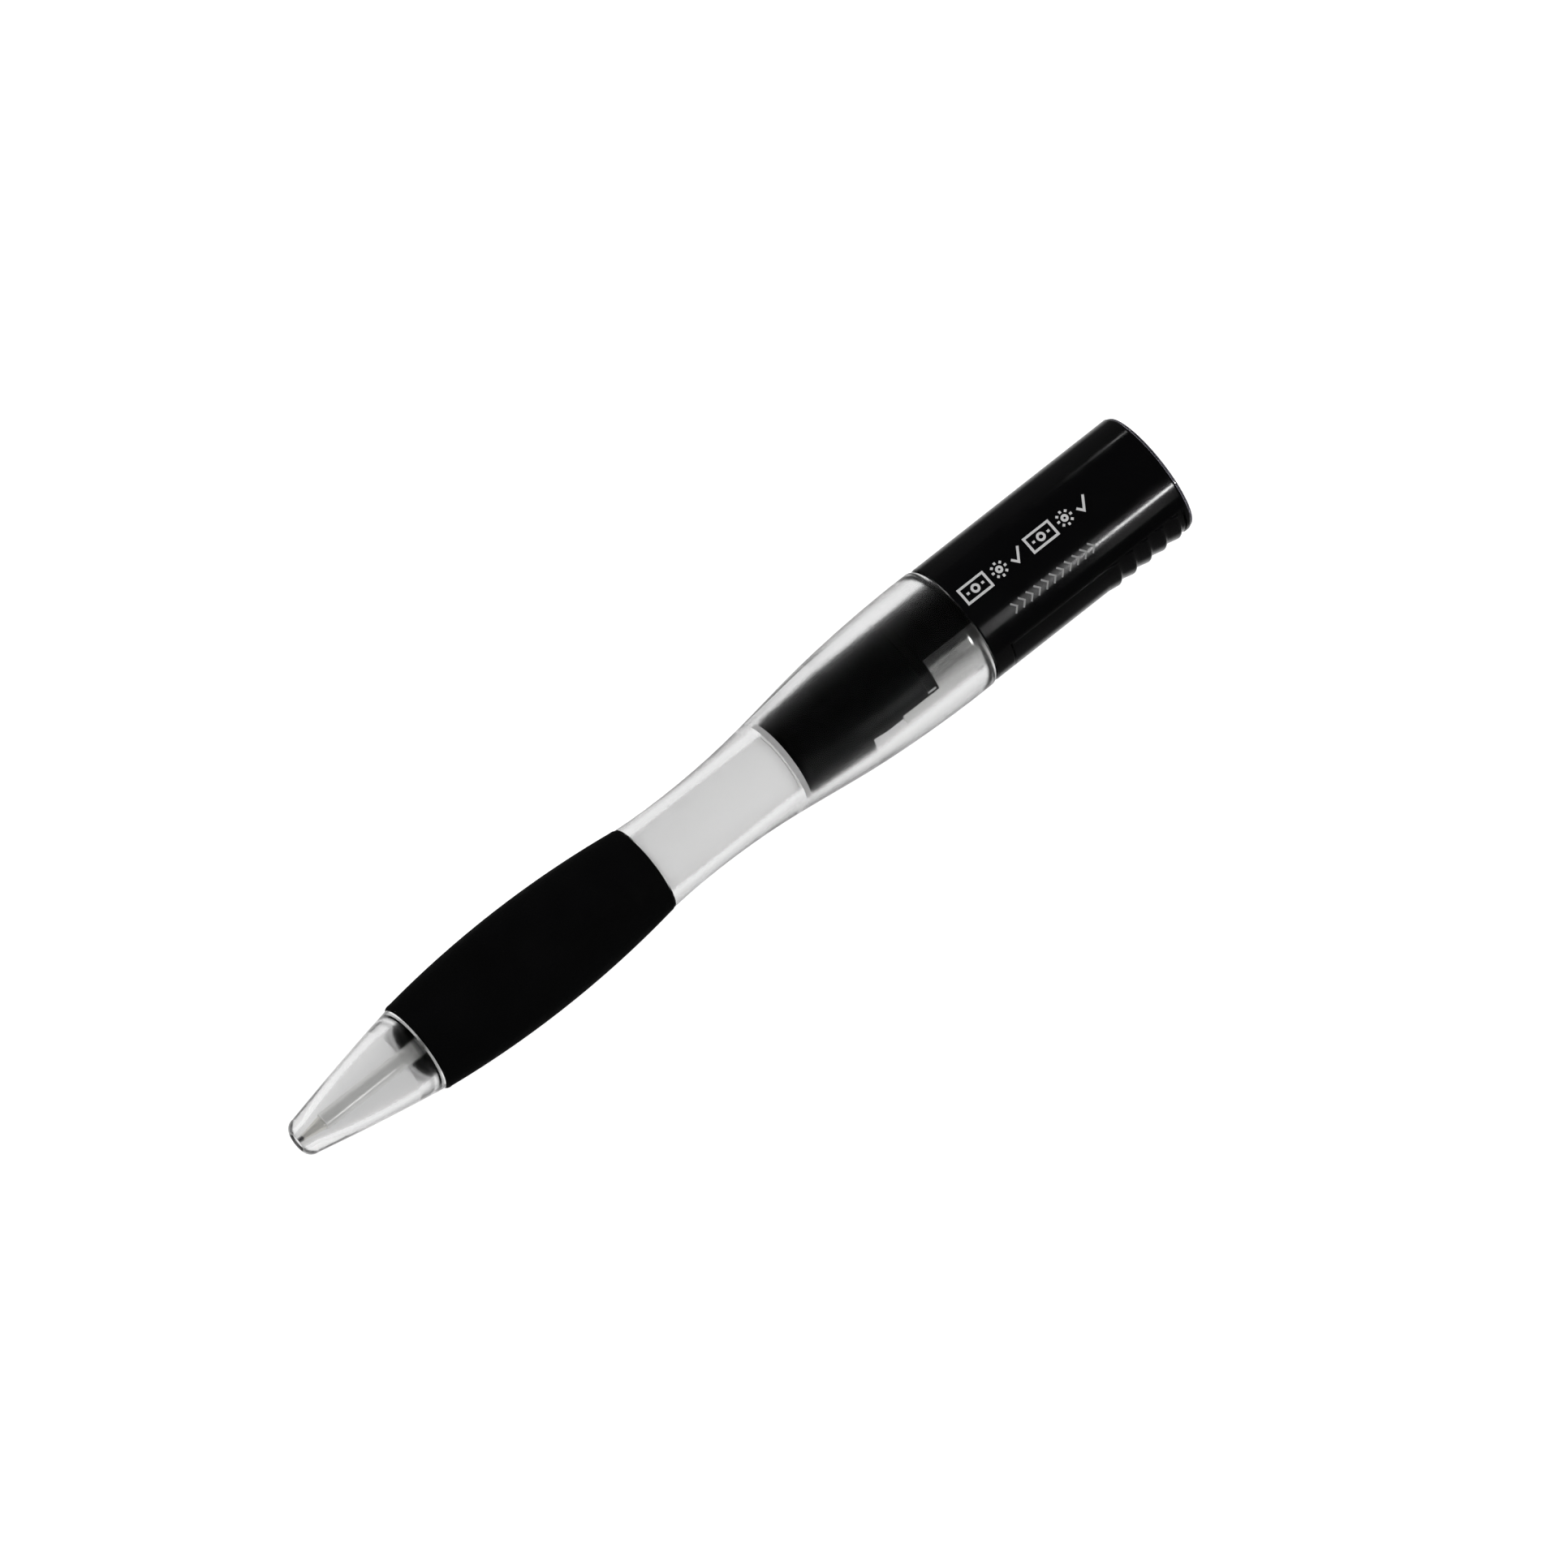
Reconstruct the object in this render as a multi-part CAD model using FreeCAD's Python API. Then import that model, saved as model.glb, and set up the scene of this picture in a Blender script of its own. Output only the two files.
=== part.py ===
"""Counterfeit detector pen: a twist ballpoint with a UV lamp in its rear end.

The pen lies along X. Stations are millimetres along it, from a datum just ahead of the
writing end's opening, and every shape is drawn in stations. main() then moves the origin
to the pen's axis at mid length, with +X towards the lamp and the printed side up, along
+Z. A bearing is an angle round the axis, in degrees: 0 is straight up (+Z), 90 is the
switch side (-Y).
"""

import FreeCAD, Part
import math
import os

from FreeCAD import Vector

# ---- driving dimensions, in mm -------------------------------------------------
NOSE_START = 0.75       # station of the writing end's opening
PEN_END = 140.4         # station of the lens face
RUNNING = 0.05          # radial clearance of parts that turn or slide
SEATED = 0.02           # radial clearance of parts that are pressed or glued

# writing end
NOSE_END = 20.0         # rear rim of the visible cone
NOSE_RIM_R = 6.08
NOSE_TIP_R = 2.62       # cone radius where the rounded tip ends
NOSE_TIP_LENGTH = 1.4
NOSE_HOLE_R = 1.25
THREAD_LENGTH = 6.5
THREAD_R = 4.95
THREAD_DEPTH = 0.32
NOSE_BORE_R = 4.2
THREAD_PITCH = 1.25
REFILL_R = 1.175        # metal mini refill, 2.35 mm by 67 mm
REFILL_LENGTH = 67.0
REFILL_SETBACK = 0.8    # point to nose opening when retracted
REFILL_BORE_R = 0.94
INK_R = 0.92
INK_LENGTH, FOLLOWER_LENGTH = 46.0, 4.0
POINT_LENGTH = 3.4
POINT_SHANK = 2.2       # length of the point's shank inside the tube
BALL_R = 0.4
FEED_TRAVEL = 4.0       # how far half a turn drives the refill out

# barrel and grip
GRIP_START, GRIP_END = 20.05, 57.5
GRIP_MID = 38.5
GRIP_MID_R = 7.48
CORE_START_R, CORE_MID_R, CORE_END_R = 5.6, 6.1, 5.15   # barrel under the grip
BARREL_LIP_R = 6.07     # where the barrel comes out from under the grip
BARREL_END = 108.2
BORE_R = 3.4            # bore round the refill
CAM_BORE_R = 4.3
CAM_BORE_START, CAM_BORE_END = 52.0, 79.0
SEAT_R = 6.45           # bore that the lamp unit turns in

# twist feed
CAM_START, CAM_R = 62.5, 3.5
CAM_WALL = 72.5         # the cam's front part is open up to here, for the pusher
GUIDE_GROOVE_R = 4.0
PUSHER_START, PUSHER_END, PUSHER_R = 61.5, 71.5, 2.5
PUSHER_PIN_R = 0.6
PUSHER_PIN_AT = 69.8
TURN = 180.0
KEY_FLATS = 4.6         # hexagon key on the battery tube

# lamp unit
TUBE_START = 80.1
TUBE_NOSE_R, TUBE_R = 5.75, 6.35
KEY_LENGTH = 5.1
COLLAR_R = SEAT_R - RUNNING
NECK_R, NECK_END = 6.2, 115.5
EARS_START = 111.9      # the neck is cut down to two ears from here on
GROOVE_START, GROOVE_END, GROOVE_R = 99.0, 100.4, 5.6
TRAY_START, TRAY_END = 90.0, 107.0
CELL_R, CELL_HEIGHT, CELL_GAP = 3.95, 3.6, 0.05
CELL_BORE_R = CELL_R + 0.1
STRIP_START, PANEL_START, TAIL_START = 94.9, 100.6, 107.2
STRIP_R, STRIP_THICK = 6.1, 0.25
CELLS_START = STRIP_START + STRIP_THICK + CELL_GAP
SHELL_R = 8.64
SHELL_BORE_R = 7.2
SHELL_START, SHELL_END = 108.3, 140.05
LED_BASE = 128.0
LED_R = 2.5
LED_FLANGE_R = 2.9
LEAD = 0.5              # square LED lead
LEAD_OFFSET = 1.27
LENS_R = 8.45

# switch lever, pressed through PRESS_ANGLE about the pivot pin
OPENING_START, OPENING_END, OPENING_HALF = 111.0, 139.35, 5.95
LEVER_GAP = 0.1
LEVER_START, LEVER_END = 111.2, 139.1
LEVER_INNER_R = 7.45
PRESS_ANGLE = 2.2
PIVOT_AT, PIVOT_Y, PIVOT_R = 113.5, -4.9, 0.45
EAR_HALF, LUG_OUTER = 3.8, 4.7
RIDGE_FIRST, RIDGE_PITCH, RIDGE_COUNT = 128.3, 2.455, 5
RIDGE_HEIGHT, VALLEY_DEPTH = 0.2, 0.16
CONTACT_AT = 123.4      # station where the lever closes the circuit
CONTACT_Y = -6.3        # outer end of the lamp's short lead
CONTACT_GAP = 0.05 + (CONTACT_AT - PIVOT_AT) * math.radians(PRESS_ANGLE)
BRIDGE_Y = CONTACT_Y - CONTACT_GAP
DECK_Y, DECK_END = -3.0, 121.8
SPRING_AT, SPRING_Z = 119.5, -1.7
SWITCH_SIDE = 90.0

AXIS = Vector(1, 0, 0)
ORIGIN = Vector(0, 0, 0)


# ---- shape helpers ---------------------------------------------------------------
def at(station, radius):
    return Vector(station, radius, 0)


def turned(start, *steps):
    """Solid of revolution about the pen's axis.

    Each step is a point (station, radius) for a straight line, a pair of points for an
    arc through the first to the second, or a longer list for a smooth curve.
    """
    edges = []
    here = at(*start)
    for step in list(steps) + [start]:
        if isinstance(step, tuple):
            there = at(*step)
            if here.distanceToPoint(there) > 1e-9:
                edges.append(Part.makeLine(here, there))
        elif len(step) == 2:
            there = at(*step[1])
            edges.append(Part.Arc(here, at(*step[0]), there).toShape())
        else:
            there = at(*step[-1])
            curve = Part.BSplineCurve()
            curve.interpolate([here] + [at(*p) for p in step])
            edges.append(curve.toShape())
        here = there
    face = Part.Face(Part.Wire(edges))
    return face.revolve(ORIGIN, AXIS, 360)


def tube(start, end, outer, inner=0.0):
    return turned((start, inner), (start, outer), (end, outer), (end, inner))


def sector(start, end, inner, outer, first, last):
    """Part of a tube between two bearings."""
    profile = Part.makePolygon([
        Vector(start, 0, inner), Vector(end, 0, inner), Vector(end, 0, outer),
        Vector(start, 0, outer), Vector(start, 0, inner)])
    piece = Part.Face(profile).revolve(ORIGIN, AXIS, last - first)
    piece.rotate(ORIGIN, AXIS, first)
    return piece


def block(start, end, y0, y1, z0, z1):
    return Part.makeBox(end - start, y1 - y0, z1 - z0, Vector(start, y0, z0))


def rod(base, tip, radius):
    direction = tip - base
    return Part.makeCylinder(radius, direction.Length, base, direction)


def hexagon(start, end, flats):
    corner = flats / math.sqrt(3)
    points = [Vector(start, corner * math.cos(i * math.pi / 3),
                     corner * math.sin(i * math.pi / 3)) for i in range(7)]
    return Part.Face(Part.makePolygon(points)).extrude(Vector(end - start, 0, 0))


def coil(base, direction, turns, wire_r, start_r, end_r, height):
    """Coil spring, round wire, from base along direction; start_r and end_r are centre radii."""
    steps = 12
    points = []
    for i in range(int(turns * steps) + 1):
        share = i / (turns * steps)
        radius = start_r + (end_r - start_r) * share
        angle = 2 * math.pi * turns * share
        points.append(Vector(radius * math.cos(angle), radius * math.sin(angle), height * share))
    path = Part.BSplineCurve()
    path.interpolate(points)
    wire = Part.Wire(path.toShape())
    section = Part.Wire(Part.makeCircle(wire_r, points[0], path.tangent(path.FirstParameter)[0]))
    spring = wire.makePipeShell([section], True, True)
    spring.Placement = FreeCAD.Placement(base, FreeCAD.Rotation(Vector(0, 0, 1), direction))
    return spring


# ---- writing end --------------------------------------------------------------------
def nose_cone():
    """Clear cone with a threaded shank that screws into the barrel."""
    shank_end = NOSE_END + THREAD_LENGTH
    root_r = THREAD_R - THREAD_DEPTH
    threads = []
    turns = int((THREAD_LENGTH - 1.0) / THREAD_PITCH)
    for i in range(turns):
        crest = NOSE_END + 1.0 + i * THREAD_PITCH
        threads += [(crest, root_r), (crest + 0.3, THREAD_R), (crest + 0.5, THREAD_R),
                    (crest + 0.8, root_r)]
    return turned(
        (NOSE_START, NOSE_HOLE_R), (NOSE_START, NOSE_HOLE_R + 0.2),
        [(NOSE_START + 0.38, NOSE_TIP_R - 0.45), (NOSE_START + NOSE_TIP_LENGTH, NOSE_TIP_R)],
        [(10.8, 4.42), (NOSE_END, NOSE_RIM_R)],
        (NOSE_END, root_r), *threads, (shank_end, root_r), (shank_end, NOSE_BORE_R),
        (NOSE_END - 3, NOSE_BORE_R), [(9.5, 2.95), (NOSE_START + 3.2, 1.6)],
        (NOSE_START + 2.4, NOSE_HOLE_R + 0.1), (NOSE_START + 1.8, NOSE_HOLE_R))


def refill_station(distance):
    return NOSE_START + REFILL_SETBACK + distance


def refill_point():
    """Nickel silver writing point: a cone with a shank pressed into the tube."""
    tip, base = refill_station(0.25), refill_station(POINT_LENGTH)
    point = turned((tip, 0), (tip, 0.36), (tip + 0.5, 0.46), (base - 0.35, INK_R),
                   (base, INK_R), (base + POINT_SHANK, INK_R), (base + POINT_SHANK, 0))
    socket = Part.makeSphere(BALL_R + RUNNING, Vector(ball_centre(), 0, 0))
    channel = tube(tip, base + POINT_SHANK + 0.1, 0.2)
    return point.cut(socket).cut(channel)


def ball_centre():
    return refill_station(BALL_R)


def writing_ball():
    return Part.makeSphere(BALL_R, Vector(ball_centre(), 0, 0))


def refill_tube():
    front, rear = refill_station(POINT_LENGTH - 0.05), refill_station(REFILL_LENGTH)
    return turned((front, REFILL_BORE_R), (front, REFILL_R - 0.08), (front + 0.1, REFILL_R),
                  (rear, REFILL_R), (rear, REFILL_BORE_R))


def ink_column():
    front = refill_station(POINT_LENGTH + POINT_SHANK + 0.1)
    return tube(front, front + INK_LENGTH, INK_R)


def ink_follower():
    front = refill_station(POINT_LENGTH + POINT_SHANK + INK_LENGTH + 0.15)
    return tube(front, front + FOLLOWER_LENGTH, INK_R)


# ---- barrel and grip -------------------------------------------------------------------
def core_curve(clearance):
    """Seat of the grip on the barrel: mid point and rear end of one arc."""
    return [(GRIP_MID, CORE_MID_R + clearance), (GRIP_END, CORE_END_R + clearance)]


def barrel():
    """Frosted, waisted barrel; its front runs on under the grip."""
    return turned(
        (NOSE_END + SEATED, THREAD_R + RUNNING), (NOSE_END + SEATED, CORE_START_R),
        (GRIP_START, CORE_START_R), core_curve(0.0), (GRIP_END + 0.05, CORE_END_R),
        (GRIP_END + 0.05, BARREL_LIP_R),
        [(66.0, 5.77), (76.0, 6.31), (88.0, 7.83), (98.0, 8.6), (107.3, 8.78)],
        [(107.84, 8.62), (BARREL_END, 8.2)],
        (BARREL_END, SEAT_R), (TRAY_START, SEAT_R), (CAM_BORE_END, 5.8),
        (CAM_BORE_END, CAM_BORE_R), (CAM_BORE_START, CAM_BORE_R),
        (CAM_BORE_START, BORE_R), (NOSE_END + THREAD_LENGTH + 0.5, BORE_R),
        (NOSE_END + THREAD_LENGTH + 0.5, THREAD_R + RUNNING))


def grip_sleeve():
    """Rubber grip that swells in the middle and has rounded ends."""
    seat_mid, seat_end = core_curve(SEATED)
    start = (GRIP_START + SEATED, CORE_START_R + SEATED)
    return turned(
        start, (GRIP_START + SEATED, 5.95),
        [(GRIP_START + 0.25, 6.26), (GRIP_START + 0.85, 6.4)],
        [(GRIP_MID, GRIP_MID_R), (GRIP_END - 0.6, 6.22)],
        [(GRIP_END - 0.18, 6.1), (GRIP_END, 5.8)],
        seat_end, [seat_mid, start])


# ---- twist feed -----------------------------------------------------------------------
def guide_sleeve():
    """Fixed sleeve; two straight grooves inside it keep the pusher from turning."""
    sleeve = turned((CAM_BORE_START + 0.1, PUSHER_R + 0.1), (CAM_BORE_START + 0.1, CAM_BORE_R - SEATED),
                    (CAM_BORE_END - SEATED, CAM_BORE_R - SEATED), (CAM_BORE_END - SEATED, CAM_R + RUNNING),
                    (CAM_START - 0.1, CAM_R + RUNNING), (CAM_START - 0.1, PUSHER_R + 0.1))
    half = PUSHER_PIN_R + RUNNING
    return sleeve.cut(block(PUSHER_PIN_AT - FEED_TRAVEL - 0.8, CAM_BORE_END, -half, half,
                            -GUIDE_GROOVE_R, GUIDE_GROOVE_R))


def helical_slot(bearing):
    """Cutter for one cam slot, which starts at this bearing where the refill is fully out."""
    half_width = PUSHER_PIN_R + 0.15
    inner, outer = PUSHER_R - 0.3, CAM_R + 0.6
    section = Part.makePolygon([
        Vector(inner, 0, -half_width), Vector(outer, 0, -half_width),
        Vector(outer, 0, half_width), Vector(inner, 0, half_width),
        Vector(inner, 0, -half_width)])
    helix = Part.makeHelix(FEED_TRAVEL * 360 / TURN, FEED_TRAVEL, (inner + outer) / 2)
    slot = Part.Wire(helix.Edges).makePipeShell([section], True, True)
    slot.rotate(ORIGIN, Vector(0, 1, 0), 90)
    slot.rotate(ORIGIN, AXIS, bearing - 180)
    slot.translate(Vector(PUSHER_PIN_AT - FEED_TRAVEL, 0, 0))
    return slot


def twist_cam():
    """Turns with the lamp unit; its two helical slots drive the pusher's pins."""
    cam = turned((CAM_START, PUSHER_R + RUNNING), (CAM_START, CAM_R), (CAM_BORE_END - 0.1, CAM_R),
                 (CAM_BORE_END - 0.1, 0), (CAM_WALL, 0), (CAM_WALL, PUSHER_R + RUNNING))
    cam = cam.cut(hexagon(TUBE_START - KEY_LENGTH - 0.5, CAM_BORE_END, KEY_FLATS + 2 * RUNNING))
    for station in (PUSHER_PIN_AT, PUSHER_PIN_AT - FEED_TRAVEL):
        reach = Vector(0, 0, CAM_R + 1)
        end = Vector(station, 0, 0)
        cam = cam.cut(rod(end - reach, end + reach, PUSHER_PIN_R + 0.1))
    return cam.cut(helical_slot(0)).cut(helical_slot(180))


def refill_pusher():
    """Slides along the guide, carries the rear of the refill and has two side pins."""
    rear = refill_station(REFILL_LENGTH)
    body = tube(PUSHER_START, PUSHER_END, PUSHER_R)
    body = body.cut(tube(PUSHER_START - 0.1, rear + SEATED, REFILL_R + SEATED))
    reach = Vector(0, 0, GUIDE_GROOVE_R - 0.1)
    centre = Vector(PUSHER_PIN_AT, 0, 0)
    return body.fuse(rod(centre - reach, centre + reach, PUSHER_PIN_R))


def cam_retainer():
    return tube(CAM_BORE_END + SEATED, TUBE_START - 0.3, 5.7, 3.0)


# ---- lamp unit: battery end --------------------------------------------------------------
def battery_tube():
    """Black carrier: key, open cell tray, collar that turns in the barrel, neck and ears."""
    body = turned(
        (TUBE_START, 0), (TUBE_START, 4.5), [(TUBE_START + 0.4, 5.35), (TUBE_START + 1.3, TUBE_NOSE_R)],
        (92.0, TUBE_R), (GROOVE_START, TUBE_R), (GROOVE_START, GROOVE_R), (GROOVE_END, GROOVE_R),
        (GROOVE_END, COLLAR_R), (BARREL_END, COLLAR_R), (BARREL_END, NECK_R),
        (NECK_END, NECK_R), (NECK_END, 0))
    body = body.fuse(hexagon(TUBE_START - KEY_LENGTH, TUBE_START + 0.5, KEY_FLATS))
    body = body.cut(tube(TRAY_START, TRAY_END, CELL_BORE_R))
    body = body.cut(block(TRAY_START, TRAY_END, -8, 0, -CELL_BORE_R, CELL_BORE_R))
    body = body.cut(tube(TRAY_END + 2, NECK_END + 1, 3.0))
    lead_hole = rod(Vector(TRAY_END - 1, 0, LEAD_OFFSET), Vector(TRAY_END + 3, 0, LEAD_OFFSET), 0.6)
    body = body.cut(lead_hole)
    for side in (-1, 1):
        flat = sorted((side * EAR_HALF, side * 8))
        body = body.cut(block(EARS_START, NECK_END + 1, -8, 8, *flat))
    body = body.cut(pivot(PIVOT_R + SEATED, 8))
    body = body.fuse(block(NECK_END - 0.2, DECK_END, DECK_Y, DECK_Y + 0.8, -3.2, 3.2))
    bed = STRIP_R - SEATED
    body = body.cut(sector(STRIP_START - 0.2, 109, bed, 6.6, 46, 63))
    body = body.cut(sector(PANEL_START - 0.2, 109, bed, 6.6, 8, 63))
    return body.cut(sector(TAIL_START - 0.1, 116, bed, 6.6, 62, 86))


def friction_ring():
    """Split rubber ring in the carrier's groove; its gap leaves the cell tray open."""
    return sector(GROOVE_START + 0.05, GROOVE_END - 0.05, GROOVE_R + 0.03, COLLAR_R,
                  SWITCH_SIDE + 44, SWITCH_SIDE + 360 - 49)


def button_cell(start):
    """Button cell: raised negative face to the front, crimped seal, plain can behind."""
    end = start + CELL_HEIGHT
    return turned(
        (start, 0), (start, 2.75), [(start + 0.07, 2.92), (start + 0.25, 3.0)],
        (start + 0.4, 3.0), (start + 0.4, 3.45), [(start + 0.5, 3.8), (start + 0.8, CELL_R)],
        (end - 0.35, CELL_R), [(end - 0.1, CELL_R - 0.1), (end, CELL_R - 0.35)], (end, 0))


def cell_start(index):
    return CELLS_START + index * (CELL_HEIGHT + CELL_GAP)


def battery_cell_front():
    return button_cell(cell_start(0))


def battery_cell_middle():
    return button_cell(cell_start(1))


def battery_cell_rear():
    return button_cell(cell_start(2))


def battery_spring():
    """Conical spring that presses the front contact plate onto the cells."""
    length = STRIP_START - TRAY_START - 2 * 0.25 - 0.1
    base = Vector(TRAY_START + 0.3, 0, 0)
    return coil(base, AXIS, 3.5, 0.25, 3.4, 1.9, length)


def contact_strip():
    """Nickel sheet: front contact plate, springy arm, wide panel and a tail to the switch."""
    outer = STRIP_R + STRIP_THICK
    arm = sector(STRIP_START, PANEL_START + 0.1, STRIP_R, outer, 47, 62)
    panel = sector(PANEL_START, BARREL_END - 0.05, STRIP_R, outer, 9, 62)
    tail = sector(TAIL_START, CONTACT_AT + 1, STRIP_R, outer, 61, 84)
    notch = sector(BARREL_END - 0.05, CONTACT_AT + 2, STRIP_R - 1, outer + 1, 60, 66)
    plate = tube(STRIP_START, STRIP_START + STRIP_THICK, 3.6)
    tab = block(STRIP_START, STRIP_START + STRIP_THICK, -0.5, 0.5, 3.0, STRIP_R + 0.1)
    tab.rotate(ORIGIN, AXIS, 57)
    sheet = arm.fuse(panel).fuse(tail.cut(notch)).fuse(plate).fuse(tab)
    return sheet.removeSplitter()


def positive_contact():
    """Plate behind the cells with a socket for the lamp's long lead."""
    start = cell_start(3)
    plate = tube(start, start + STRIP_THICK, 3.6)
    socket = tube(start + STRIP_THICK - 0.05, TRAY_END - 0.02, 1.0, 0.5)
    socket.translate(Vector(0, 0, LEAD_OFFSET))
    return plate.fuse(socket)


# ---- lamp unit: lamp end -----------------------------------------------------------------
def lamp_shell():
    """Outer shell with a closed front wall and an opening for the switch lever."""
    shell = turned(
        (SHELL_START, NECK_R + SEATED), (SHELL_START, SHELL_R - 0.2),
        [(SHELL_START + 0.06, SHELL_R - 0.06), (SHELL_START + 0.2, SHELL_R)],
        (SHELL_END - 0.32, SHELL_R),
        [(SHELL_END - 0.09, SHELL_R - 0.09), (SHELL_END, SHELL_R - 0.25)],
        (SHELL_END, SHELL_BORE_R), (SHELL_START + 1.7, SHELL_BORE_R),
        (SHELL_START + 1.7, NECK_R + SEATED))
    shell = shell.cut(block(OPENING_START, OPENING_END, -9, -3, -OPENING_HALF, OPENING_HALF))
    return shell.cut(sector(SHELL_START - 0.1, SHELL_START + 1.8, 6.0, STRIP_R + 0.4, 64, 86))


def pivot(radius, half_length):
    reach = Vector(0, 0, half_length)
    centre = Vector(PIVOT_AT, PIVOT_Y, 0)
    return rod(centre - reach, centre + reach, radius)


def pivot_pin():
    return pivot(PIVOT_R, LUG_OUTER)


def ridged_pad():
    """Outline of the lever's pad: each crest is reached slowly and drops off sharply behind."""
    steps = []
    crest_r, valley_r = SHELL_R + RIDGE_HEIGHT, SHELL_R - VALLEY_DEPTH
    for i in range(RIDGE_COUNT):
        crest = RIDGE_FIRST + i * RIDGE_PITCH
        steps += [(crest - 0.2, crest_r - 0.01), [(crest, crest_r), (crest + 0.15, crest_r - 0.06)],
                  (crest + 0.4, valley_r + 0.03), [(crest + 0.6, valley_r), (crest + 0.9, valley_r + 0.02)]]
    return steps


def switch_lever():
    """Curved lever with a ribbed pad; it rocks on the pivot pin near its front end."""
    half = OPENING_HALF - LEVER_GAP
    skin = turned((LEVER_START, LEVER_INNER_R), (LEVER_START, SHELL_R - 0.15),
                  (LEVER_START + 0.15, SHELL_R), (RIDGE_FIRST - 1.6, SHELL_R), *ridged_pad(),
                  (LEVER_END, SHELL_R - 0.15), (LEVER_END, LEVER_INNER_R))
    lever = skin.common(block(LEVER_START - 1, LEVER_END + 1, -10, -3, -half, half))
    for side in (-1, 1):
        lug = block(PIVOT_AT - 1.1, PIVOT_AT + 1.1, -7.0, PIVOT_Y + 0.9,
                    *sorted((side * (EAR_HALF + 0.1), side * LUG_OUTER)))
        lever = lever.fuse(lug)
    seat = block(CONTACT_AT - 1, CONTACT_AT + 1, -7.6, BRIDGE_Y - STRIP_THICK, -1.9, 2.4)
    pip = rod(Vector(SPRING_AT, -7.6, SPRING_Z), Vector(SPRING_AT, -6.2, SPRING_Z), 0.8)
    return lever.fuse(seat).fuse(pip).cut(pivot(PIVOT_R + RUNNING, 8))


def bridge_contact():
    """Small plate under the lever that joins the strip's tail to the lamp's short lead."""
    return block(CONTACT_AT - 0.8, CONTACT_AT + 0.8, BRIDGE_Y - STRIP_THICK + SEATED, BRIDGE_Y,
                 -1.8, 2.2)


def lever_spring():
    """Return spring between the carrier's deck and the lever."""
    base = Vector(SPRING_AT, DECK_Y - 0.14, SPRING_Z)
    return coil(base, Vector(0, -1, 0), 5.5, 0.12, 1.1, 1.1, 3.5)


def uv_led():
    """Round 5 mm lamp with a flange and a domed front."""
    dome_start = LED_BASE + 6.1
    stem = turned((LED_BASE, 0), (LED_BASE, LED_FLANGE_R), (LED_BASE + 1, LED_FLANGE_R),
                  (LED_BASE + 1, LED_R), (dome_start, LED_R), (dome_start, 0))
    return stem.fuse(Part.makeSphere(LED_R, Vector(dome_start, 0, 0))).removeSplitter()


def led_leads():
    """Long lead straight to the cells, short lead bent up to the switch."""
    half = LEAD / 2
    long_lead = block(cell_start(3) + STRIP_THICK + 0.05, LED_BASE - 0.02, -half, half,
                      LEAD_OFFSET - half, LEAD_OFFSET + half)
    short_lead = block(CONTACT_AT - half, LED_BASE - 0.02, -half, half,
                       -LEAD_OFFSET - half, -LEAD_OFFSET + half)
    riser = block(CONTACT_AT - half, CONTACT_AT + half, CONTACT_Y, half,
                  -LEAD_OFFSET - half, -LEAD_OFFSET + half)
    return Part.makeCompound([long_lead, short_lead.fuse(riser).removeSplitter()])


def led_holder():
    """Ring that centres the lamp; it is seated in the shell away from the lever."""
    start, end = LED_BASE - 1.0, LED_BASE + 3.0
    ring = tube(start, end, 6.3)
    foot = tube(start, end, SHELL_BORE_R - SEATED)
    foot = foot.common(block(start, end, -3.2, 8, -8, 8))
    holder = ring.fuse(foot).removeSplitter()
    holder = holder.cut(tube(start - 1, end + 1, LED_R + RUNNING))
    return holder.cut(tube(start - 1, LED_BASE + 1 + SEATED, LED_FLANGE_R + RUNNING))


def reflector():
    """Bright bowl round the lamp."""
    start, end = LED_BASE + 3.05, SHELL_END - 0.45
    return turned((start, LED_R + 0.1), (start, LED_R + 0.45),
                  [(start + 2.2, 4.75), (end - 0.3, 6.35)], (end, 6.35), (end, 6.05),
                  [(start + 2.4, 4.4), (start, LED_R + 0.1)])


def lamp_lens():
    """Clear window that closes the shell, with a rounded rim."""
    spigot = SHELL_BORE_R - RUNNING
    return turned((SHELL_END - 0.42, 0), (SHELL_END - 0.42, spigot), (SHELL_END + SEATED, spigot),
                  (SHELL_END + SEATED, LENS_R), (PEN_END - 0.2, LENS_R),
                  [(PEN_END - 0.06, LENS_R - 0.07), (PEN_END, LENS_R - 0.22)], (PEN_END, 0))


SUB_PARTS = [
    nose_cone, refill_point, writing_ball, refill_tube, ink_column, ink_follower,
    barrel, grip_sleeve, guide_sleeve, twist_cam, refill_pusher, cam_retainer,
    battery_tube, friction_ring, battery_cell_front, battery_cell_middle, battery_cell_rear,
    battery_spring, contact_strip, positive_contact,
    lamp_shell, switch_lever, pivot_pin, bridge_contact, lever_spring,
    uv_led, led_leads, led_holder, reflector, lamp_lens,
]


def main():
    os.makedirs("parts", exist_ok=True)
    for make in SUB_PARTS:
        shape = make()
        shape.translate(Vector(-(NOSE_START + PEN_END) / 2, 0, 0))
        shape.exportStep(os.path.join("parts", make.__name__ + ".step"))
        print(f"{make.__name__:22s} solids {len(shape.Solids)}  valid {shape.isValid()}  "
              f"volume {shape.Volume:9.3f} mm3")


main()
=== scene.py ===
"""Looks of the counterfeit detector pen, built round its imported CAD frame.

The pen lies along X, nose at -X and lamp at +X. Lengths are metres, but the sizes of grain and
print are millimetres, and so are stations, which run along X from a datum just ahead of the
nose's opening. A bearing is an angle round the pen's axis, in degrees: 0 is straight up, 90 is
the switch side, -Y.
"""

import math

import bmesh
import bpy
from mathutils import Matrix, Vector

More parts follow.
